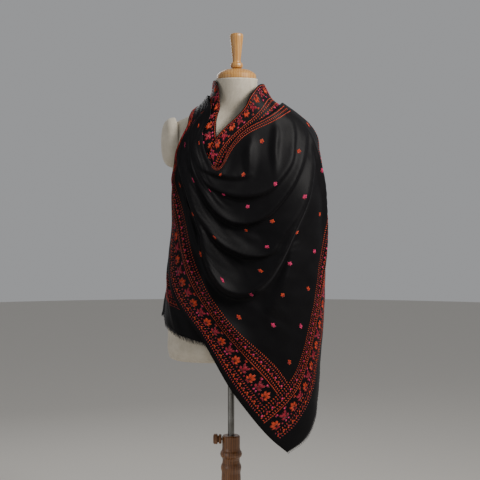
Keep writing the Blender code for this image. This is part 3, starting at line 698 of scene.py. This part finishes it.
# Pair of leaves that fills the gap between two motifs of the row
FILLER = (
    (0.0, 4.6, 90, 7.5, 3.4, 0),
    (0.0, 31.0, 90, 7.0, 3.6, 0),
)
BUD = (
    (0.0, 2.2, 90, 7.6, 5.2, 0),
    (-4.0, -1.2, 150, 6.0, 3.2, 1),
    (4.0, -1.2, 30, 6.0, 3.2, 1),
)
FIELD_FLOWER = (
    (-4.0, 1.4, 160, 8.8, 4.8, 0),
    (4.0, 1.4, 20, 8.8, 4.8, 0),
    (0.0, 4.2, 90, 9.4, 5.2, 0),
    (0.2, 0.2, 60, 5.4, 4.8, 0),
    (-2.4, -3.2, 235, 6.4, 3.8, 0),
    (2.8, -3.8, -50, 7.0, 3.4, 1),
)
MARGIN = 0.012               # plain cloth outside the border on the long edge
FIRST_MARGIN = 0.056         # and at each end
LAST_MARGIN = 0.092
BORDER = 0.104               # the border's whole depth
THREAD = 0.0021              # width of a line of chain stitch
CHAIN_STEP = 0.0056
CHAIN_LENGTH = 0.0062        # each stitch runs a little into the next one
CHAIN_RISE = 0.0006
TICK_STEP = 0.0068
TICK_LENGTH = 0.0060
TICK_WIDTH = 0.0022
TICK_RISE = 0.0005
BUD_STEP = 0.0150
PALMETTE_STEP = 0.0315
PALMETTE_SIZE = 0.92         # palmettes are a little smaller than the sprays between them
SPRAY_SIZE = 1.12
NECKLINE_START = 0.235       # the line at the neckline fold, along the cloth
NECKLINE_STOP = 0.66


def along_edge(along, depth):
    return along, MARGIN + depth


def chain_line(needle, put, heading, start, stop, depth, colour):
    """Unbroken line of chain stitch."""
    count = int((stop - start) / CHAIN_STEP)
    for k in range(count):
        s = start + (k + 0.5) * (stop - start) / count
        needle.stitch(*put(s, depth), heading, CHAIN_LENGTH, THREAD, colour, CHAIN_RISE)


def ladder(needle, put, heading, start, stop, depth, tints, lean=0.45):
    """Row of short slanting ticks that take the colours by turns."""
    count = int((stop - start) / TICK_STEP)
    for k in range(count):
        s = start + (k + 0.5) * (stop - start) / count
        needle.stitch(*put(s, depth), heading + math.pi / 2 - lean, TICK_LENGTH, TICK_WIDTH,
                      tints[k % len(tints)], TICK_RISE)


def bud_row(needle, put, heading, start, stop, depth, tints):
    """Row of buds whose leaves are orange."""
    count = int((stop - start) / BUD_STEP)
    for k in range(count):
        s = start + (k + 0.5) * (stop - start) / count
        needle.motif(BUD, *put(s, depth), heading, (tints[k % len(tints)], ORANGE))


def palmette_row(needle, put, heading, start, stop, depth, size=1.0):
    """Orange palmettes and crimson sprays by turns."""
    count = int(round((stop - start) / (PALMETTE_STEP * size)))
    for k in range(count):
        s = start + (k + 0.5) * (stop - start) / count
        if k % 2 == 0:
            needle.motif(PALMETTE, *put(s, depth), heading, (ORANGE, CRIMSON), size * PALMETTE_SIZE)
        else:
            leaves = PINK if k % 4 == 1 else ORANGE
            needle.motif(SPRAY, *put(s, depth), heading, (CRIMSON, leaves), size * SPRAY_SIZE)
        half_way = s + 0.5 * (stop - start) / count
        needle.motif(FILLER, *put(half_way, depth), heading, (CRIMSON,), size)


def border(needle, put, heading, start, stop):
    """Guard of ladders and buds, the palmette band, and an inner row of buds."""
    ladder(needle, put, heading, start, stop, 0.003, (CRIMSON, CRIMSON, ORANGE))
    bud_row(needle, put, heading, start, stop, 0.0120, (CRIMSON, ORANGE))
    ladder(needle, put, heading, start, stop, 0.0215, (CRIMSON, ORANGE), -0.45)
    palmette_row(needle, put, heading, start, stop, 0.0275)
    chain_line(needle, put, heading, start, stop, 0.0655, ORANGE)
    ladder(needle, put, heading, start, stop, 0.0715, (ORANGE,))
    bud_row(needle, put, heading, start, stop, 0.0810, (PINK, CRIMSON))
    ladder(needle, put, heading, start, stop, 0.0910, (ORANGE, CRIMSON), -0.45)
    ladder(needle, put, heading, start, stop, 0.0995, (ORANGE,))


def field_flowers(needle, sheet):
    """Small flowers strewn over the plain middle in staggered rows, few where the cloth is bunched."""
    last = sheet.along[-1] - LAST_MARGIN - BORDER - 0.035
    width_here = np.linalg.norm(np.diff(sheet.grid, axis=1), axis=-1) / np.diff(sheet.across)
    row = 0
    along = FIRST_MARGIN + BORDER + 0.034
    while along < last:
        i = int(np.searchsorted(sheet.along, along))
        across = MARGIN + BORDER + 0.036 + (0.064 if row % 2 else 0.0)
        column = 0
        while across < SHAWL_WIDTH - 0.05:
            j = min(int(np.searchsorted(sheet.across, across)), len(sheet.across) - 2)
            open_enough = width_here[i, j] > 0.42 or (row + column) % 3 == 0
            if open_enough:
                needle.motif(FIELD_FLOWER, along, across, 0.9 * math.sin(3.1 * row + 1.7 * column),
                             (PINK, CRIMSON) if (row + column) % 2 else (ORANGE, CRIMSON),
                             0.98 / max(0.62, min(1.0, width_here[i, j])) ** 0.5)
            across += 0.128
            column += 1
        along += 0.098
        row += 1


def shawl_stitches(sheet):
    """Borders along edge A and both ends, the strewn flowers, and the line at the neckline fold."""
    needle = Needle()
    length = sheet.along[-1]
    border(needle, along_edge, 0.0, FIRST_MARGIN + BORDER, length - LAST_MARGIN - BORDER)
    border(needle, lambda s, d: (FIRST_MARGIN + d, s), -math.pi / 2, MARGIN, SHAWL_WIDTH - 0.004)
    border(needle, lambda s, d: (length - LAST_MARGIN - d, s), math.pi / 2, MARGIN, SHAWL_WIDTH - 0.004)
    field_flowers(needle, sheet)
    for depth in (0.959, 0.973):
        chain_line(needle, lambda s, d: (s, d), 0.0, NECKLINE_START, NECKLINE_STOP, depth, ORANGE)
    ladder(needle, lambda s, d: (s, d), 0.0, NECKLINE_START, NECKLINE_STOP, 0.966, (ORANGE,))
    return needle


def band_stitches(sheet):
    """Border on a neck stretch: palmettes near the neck, a line, a ladder and, where it is wide, buds."""
    needle = Needle()
    stop = sheet.along[-1] - 0.003
    chain_line(needle, lambda s, d: (s, d), 0.0, 0.003, stop, 0.0040, ORANGE)
    palmette_row(needle, lambda s, d: (s, d), 0.0, 0.003, stop, 0.0065, 0.92)
    chain_line(needle, lambda s, d: (s, d), 0.0, 0.003, stop, 0.0420, ORANGE)
    ladder(needle, lambda s, d: (s, d), 0.0, 0.003, stop, 0.0480, (ORANGE,))
    if sheet.across[-1] > 0.08:
        bud_row(needle, lambda s, d: (s, d), 0.0, 0.003, stop, 0.0580, (PINK, CRIMSON))
    return needle


def embroidery(name, sheet, needle, threads):
    """All stitches of one stretch as one mesh of small closed bodies, raised on the cloth."""
    rows = np.array(needle.rows, float)
    along, across, heading, length, width, rise, colour = rows.T
    inside = (along > 0.004) & (along < sheet.along[-1] - 0.004)
    inside &= (across > 0.003) & (across < sheet.across[-1] - 0.003)
    along, across, heading, length, width, rise, colour = rows[inside].T
    c = np.cos(heading)
    s = np.sin(heading)
    corners = []
    for x, y in STITCH_RING:
        dx = x * length * c - y * width * s
        dy = x * length * s + y * width * c
        corners.append(sheet.lay(along + dx, across + dy, np.full(len(along), STITCH_FOOT)))
    corners.append(sheet.lay(along, across, rise))
    corners.append(sheet.lay(along, across, np.full(len(along), -STITCH_SINK)))
    points = np.stack(corners, axis=1).reshape(-1, 3)
    around = len(STITCH_RING)
    pattern = [(k, (k + 1) % around, around) for k in range(around)]
    pattern += [((k + 1) % around, k, around + 1) for k in range(around)]
    faces = (np.array(pattern)[None] + (np.arange(len(along)) * (around + 2))[:, None, None]).reshape(-1, 3)
    made = link_mesh(name, points.tolist(), faces.tolist(), threads)
    made.data.polygons.foreach_set("material_index", np.repeat(colour.astype(int), len(pattern)))
    bpy.context.view_layer.update()
    shape = bmesh.new()
    shape.from_mesh(made.data)
    bmesh.ops.recalc_face_normals(shape, faces=shape.faces)
    shape.to_mesh(made.data)
    shape.free()
    return made


# ---------------------------------------------------------------------- fringe
STRAND_SIDES = 3
STRAND_RINGS = 4
TUFT_STEP = 0.0032
STRANDS_PER_TUFT = 3
STRAND_RADIUS = 0.00062
STRAND_TAPER = 0.72
STRAND_DROOP = 0.0022
ROOT_DEPTH = 0.0015          # how far a strand starts inside the cloth


def fringe(name, sheet, end, inside, length, chance, surface):
    """Short loose ends in tufts along one end of the cloth, drooping as they leave it."""
    points = []
    faces = []
    count = int(SHAWL_WIDTH / TUFT_STEP)
    step = sheet.grid[end] - sheet.grid[inside]
    step /= np.linalg.norm(step, axis=-1, keepdims=True)
    for k in range(count * STRANDS_PER_TUFT):
        tuft = (k // STRANDS_PER_TUFT + 0.5) * TUFT_STEP
        across = min(SHAWL_WIDTH - 0.001, max(0.001, tuft + chance.uniform(-0.0009, 0.0009)))
        spot = across / SHAWL_WIDTH * (len(sheet.across) - 1)
        j = min(int(spot), len(sheet.across) - 2)
        t = spot - j
        root = sheet.grid[end, j] * (1 - t) + sheet.grid[end, j + 1] * t
        out = step[j] * (1 - t) + step[j + 1] * t
        normal = sheet.normal[end, j]
        side = np.cross(normal, out)
        splay = chance.uniform(-0.30, 0.30)
        lean = chance.uniform(-0.15, 0.20)
        way = out + side * splay + normal * lean
        way /= np.linalg.norm(way)
        reach = length * chance.uniform(0.72, 1.08)
        root = root - normal * CLOTH / 2 - out * ROOT_DEPTH
        first = len(points)
        for ring in range(STRAND_RINGS):
            share = ring / (STRAND_RINGS - 1)
            middle = root + way * (reach + ROOT_DEPTH) * share
            middle[2] -= STRAND_DROOP * share * share
            radius = STRAND_RADIUS * (1 - STRAND_TAPER * share)
            for corner in range(STRAND_SIDES):
                turn = 2 * math.pi * corner / STRAND_SIDES
                points.append(tuple(middle + (side * math.cos(turn) + normal * math.sin(turn)) * radius))
        for ring in range(STRAND_RINGS - 1):
            for corner in range(STRAND_SIDES):
                a = first + ring * STRAND_SIDES + corner
                b = first + ring * STRAND_SIDES + (corner + 1) % STRAND_SIDES
                faces.append((a, b, b + STRAND_SIDES, a + STRAND_SIDES))
        last = first + (STRAND_RINGS - 1) * STRAND_SIDES
        faces.append(tuple(first + corner for corner in reversed(range(STRAND_SIDES))))
        faces.append(tuple(last + corner for corner in range(STRAND_SIDES)))
    made = link_mesh(name, points, faces, [surface])
    shape = bmesh.new()
    shape.from_mesh(made.data)
    bmesh.ops.recalc_face_normals(shape, faces=shape.faces)
    shape.to_mesh(made.data)
    shape.free()
    return made


# ------------------------------------------------------------------ dress form
# height, half width, half depth, how far its middle lies forward
TORSO_SECTIONS = np.array((
    (0.766, 0.158, 0.094, 0.000),
    (0.770, 0.168, 0.104, 0.000),
    (0.782, 0.174, 0.111, 0.000),
    (0.830, 0.176, 0.114, -0.002),
    (0.900, 0.171, 0.112, -0.006),
    (0.980, 0.149, 0.101, -0.002),
    (1.050, 0.131, 0.091, 0.004),
    (1.120, 0.138, 0.094, 0.010),
    (1.190, 0.150, 0.104, 0.014),
    (1.240, 0.158, 0.112, 0.016),
    (1.290, 0.176, 0.110, 0.012),
    (1.335, 0.190, 0.104, 0.004),
    (1.370, 0.188, 0.095, 0.000),
    (1.395, 0.173, 0.086, 0.002),
    (1.412, 0.155, 0.079, 0.005),
    (1.426, 0.127, 0.073, 0.010),
    (1.440, 0.098, 0.068, 0.016),
    (1.454, 0.078, 0.064, 0.025),
    (1.468, 0.064, 0.060, 0.036),
    (1.488, 0.058, 0.058, 0.047),
    (1.508, 0.0565, 0.057, 0.055),
    (1.527, 0.0565, 0.057, 0.060),
))
ARM_FLAT = 0.158
WAIST_HEIGHT = 1.05
ARM_CAP_HEIGHT = 1.358
ARM_CAP_HALF_DEPTH = 0.056
ARM_CAP_HALF_HEIGHT = 0.068
ARM_CAP_BULGE = 0.034
GAP = 0.0003
POLE_HOLE = 0.0095


def with_form(x, y, z):
    """A point of the form, turned as the form is."""
    c = math.cos(FORM_TURN)
    s = math.sin(FORM_TURN)
    return np.stack([c * x - s * y, s * x + c * y, z], axis=-1)


def form_skin(turn, height):
    """Point on the form's cover; turn in radians from the form's own right."""
    size = through(TORSO_SECTIONS[:, 0], TORSO_SECTIONS[:, 1:], height)
    flat = np.where(height > WAIST_HEIGHT, ARM_FLAT, 1.0)
    x = np.clip(size[..., 0] * np.cos(turn), -flat, flat)
    y = size[..., 1] * np.sin(turn) - size[..., 2]
    return with_form(x, y, height)


def form_body(surface):
    """The form's covered body, closed below round the pole's hole and above under the neck cap."""
    columns = 160
    heights = np.concatenate([
        np.linspace(0.766, 0.790, 9)[:-1],
        np.linspace(0.790, 1.330, 68)[:-1],
        np.linspace(1.330, 1.527, 48),
    ])
    turn = np.linspace(0, 2 * math.pi, columns, endpoint=False)
    t, z = np.meshgrid(turn, heights)
    skin = form_skin(t, z)
    socket_x = POLE_HOLE * np.cos(turn)
    socket_y = POLE_HOLE * np.sin(turn)
    socket_roof = np.full(columns, POLE_TOP + GAP)
    rings = [with_form(socket_x, socket_y, socket_roof)]
    rings.append(with_form(socket_x, socket_y, np.full(columns, TORSO_FLOOR)))
    rings += list(skin)
    top = skin[-1].mean(axis=0)
    rings.append(skin[-1] * 0.5 + top * 0.5)
    grid = np.array(rings)
    around = turn * 0.15
    flat = np.stack(np.broadcast_arrays(around[None, :], grid[..., 2]), axis=-1)
    made = grid_piece("form_body", grid, np.ascontiguousarray(flat), surface, closed=True)
    shape = bmesh.new()
    shape.from_mesh(made.data)
    shape.verts.ensure_lookup_table()
    count = len(shape.verts)
    shape.faces.new([shape.verts[i] for i in range(columns)])
    shape.faces.new([shape.verts[i] for i in range(count - columns, count)])
    bmesh.ops.recalc_face_normals(shape, faces=shape.faces)
    shape.to_mesh(made.data)
    shape.free()
    return made


def arm_cap(name, side, surface):
    """Domed cover where an arm would start, with the seam that joins its end disc to its rim."""
    profile = ((0.985, 0.0), (1.0, 0.10), (0.985, 0.24), (0.95, 0.44), (0.885, 0.62), (0.80, 0.755),
               (0.70, 0.84), (0.60, 0.885), (0.572, 0.876), (0.545, 0.895), (0.42, 0.945), (0.28, 0.985),
               (0.14, 0.998), (0.03, 1.0))
    steps = through(np.linspace(0, 1, len(profile)), profile, np.linspace(0, 1, 60))
    columns = 96
    turn = np.linspace(0, 2 * math.pi, columns, endpoint=False)
    spread = steps[:, 0][:, None]
    out = steps[:, 1][:, None]
    x = side * (ARM_FLAT + GAP + ARM_CAP_BULGE * out) + 0 * turn
    y = ARM_CAP_HALF_DEPTH * spread * np.cos(turn)
    z = ARM_CAP_HEIGHT + ARM_CAP_HALF_HEIGHT * spread * np.sin(turn)
    grid = with_form(x, y, z)
    flat = np.stack([y, z], axis=-1)
    made = grid_piece(name, grid, flat, surface, closed=True)
    shape = bmesh.new()
    shape.from_mesh(made.data)
    shape.verts.ensure_lookup_table()
    count = len(shape.verts)
    shape.faces.new([shape.verts[i] for i in range(columns)])
    shape.faces.new([shape.verts[i] for i in range(count - columns, count)])
    bmesh.ops.recalc_face_normals(shape, faces=shape.faces)
    shape.to_mesh(made.data)
    shape.free()
    return made


# ----------------------------------------------------------------------- build
WOOL = twill_wool_woven()
FRINGE_WOOL = wool_fringe_brushed()
THREADS = [
    silk_thread_stitched("orange_silk_stitched", "A02C10", "CE431A"),
    silk_thread_stitched("crimson_silk_stitched", "760D20", "A3152F"),
    silk_thread_stitched("pink_silk_stitched", "B41B4F", "E23574"),
]
LINEN = linen_cover_woven()
PALE_WOOD = turned_wood_varnished("birch_turned_varnished", "A8743A", "C4934F", 0.35)
BROWN_WOOD = turned_wood_varnished("beech_turned_stained", "5E3719", "84552C", 0.3)
STEEL = steel_tube_brushed()


def finish_cad(name, surface):
    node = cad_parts[name]
    node.data.materials.clear()
    node.data.materials.append(surface)


def build():
    studio_camera()
    studio_room()
    for name in ("base_plate", "column", "clamp_knob"):
        finish_cad(name, BROWN_WOOD)
    for name in ("neck_cap", "cap_handle"):
        finish_cad(name, PALE_WOOD)
    finish_cad("pole", STEEL)

    body = form_body(LINEN)
    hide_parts("torso")
    caps = [arm_cap("form_arm_cap_left", -1, LINEN), arm_cap("form_arm_cap_right", 1, LINEN)]
    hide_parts("arm_cap_left")
    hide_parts("arm_cap_right")
    for piece in [body] + caps:
        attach(piece, "form")

    main = draped_shawl()
    cloth = cloth_piece("shawl_cloth", main)
    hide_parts("shawl_front", "shawl_back")
    stitches = embroidery("shawl_embroidery", main, shawl_stitches(main), THREADS)

    bands = []
    for name, edges, lift in (
        ("shawl_neck_left", LEFT_BAND_EDGES, INNER_BAND_LIFT),
        ("shawl_neck_right", RIGHT_BAND_EDGES, OUTER_BAND_LIFT),
    ):
        sheet = neck_band(edges, lift)
        band = cloth_piece(name + "_cloth", sheet)
        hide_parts(name)
        work = embroidery(name + "_embroidery", sheet, band_stitches(sheet), THREADS)
        bands.append((band, work, sheet))

    chance = np.random.default_rng(20)
    first = fringe("fringe_first_end", main, 0, 1, FIRST_FRINGE, chance, FRINGE_WOOL)
    last = fringe("fringe_last_end", main, -1, -2, LAST_FRINGE, chance, FRINGE_WOOL)
    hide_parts("fringe_front")
    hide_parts("fringe_back")

    for piece in (cloth, stitches, first, last):
        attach(piece, "form")
    for band, work, sheet in bands:
        for piece in (band, work):
            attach(piece, "form")


build()
